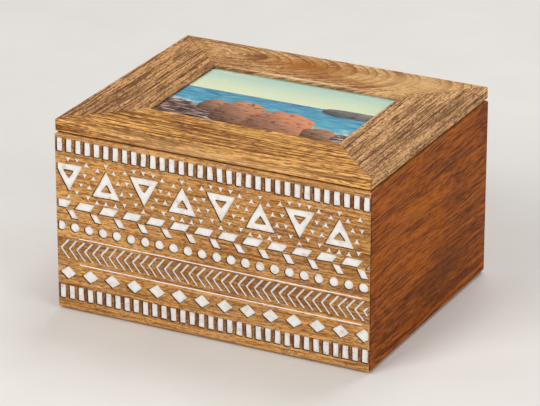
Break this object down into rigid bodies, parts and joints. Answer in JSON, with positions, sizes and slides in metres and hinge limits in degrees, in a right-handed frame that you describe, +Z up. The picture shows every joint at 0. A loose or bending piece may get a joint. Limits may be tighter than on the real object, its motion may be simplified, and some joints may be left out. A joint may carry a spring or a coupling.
{
  "type": "keepsake box",
  "caption": "Wooden keepsake box with a carved, whitened front and a hinged lid that frames a picture under glass.",
  "frame": {"origin": "on the flat plane the felt feet stand on, below the middle of the box", "axes": "+Z up through the lid, carved front towards -Y, right side towards +X"},
  "size_m": [0.25, 0.2007, 0.1479],
  "materials": {
    "carved_wood": "satin honey-brown mango wood, recesses whitened",
    "dark_wood": "satin red-brown mango wood",
    "rail_wood": "satin golden mango wood",
    "stile_wood": "satin greyish mango wood with open pores",
    "board_wood": "plain plywood",
    "hardboard": "matte fibreboard",
    "glass": "clear",
    "print": "glossy photographic print",
    "brass": "satin",
    "steel": "plain",
    "felt": "pressed felt"
  },
  "bodies": {
    "box": {"front_panel": "carved_wood", "right_side_panel": "dark_wood", "back_panel": "dark_wood", "left_side_panel": "dark_wood", "bottom_board": "board_wood", "foot_pads": "felt", "lid_rest_pads": "felt", "left_hinge_box_leaf": "brass", "left_hinge_pin": "brass", "right_hinge_box_leaf": "brass", "right_hinge_pin": "brass", "hinge_box_screws": "brass"},
    "lid": {"lid_front_rail": "rail_wood", "lid_right_stile": "stile_wood", "lid_back_rail": "rail_wood", "lid_left_stile": "stile_wood", "lid_corner_wedges": "steel", "glass_pane": "glass", "picture_print": "print", "backing_board": "hardboard", "left_hinge_lid_leaf": "brass", "right_hinge_lid_leaf": "brass", "hinge_lid_screws": "brass", "turn_button_screws": "brass"},
    "button_front_left": {"turn_button_front_left": "brass"},
    "button_front_right": {"turn_button_front_right": "brass"},
    "button_back_left": {"turn_button_back_left": "brass"},
    "button_back_right": {"turn_button_back_right": "brass"}
  },
  "joints": [
    {"name": "lid_hinge", "type": "hinge", "parent": "box", "child": "lid", "pos_m": [0, 0.0985, 0.1378], "axis": [-1, 0, 0], "range_deg": [0, 102]},
    {"name": "button_front_left_turn", "type": "hinge", "parent": "lid", "child": "button_front_left", "pos_m": [-0.045, -0.059, 0.1379], "axis": [0, 0, 1], "continuous": true},
    {"name": "button_front_right_turn", "type": "hinge", "parent": "lid", "child": "button_front_right", "pos_m": [0.045, -0.059, 0.1379], "axis": [0, 0, 1], "continuous": true},
    {"name": "button_back_left_turn", "type": "hinge", "parent": "lid", "child": "button_back_left", "pos_m": [-0.045, 0.059, 0.1379], "axis": [0, 0, 1], "continuous": true},
    {"name": "button_back_right_turn", "type": "hinge", "parent": "lid", "child": "button_back_right", "pos_m": [0.045, 0.059, 0.1379], "axis": [0, 0, 1], "continuous": true}
  ]
}
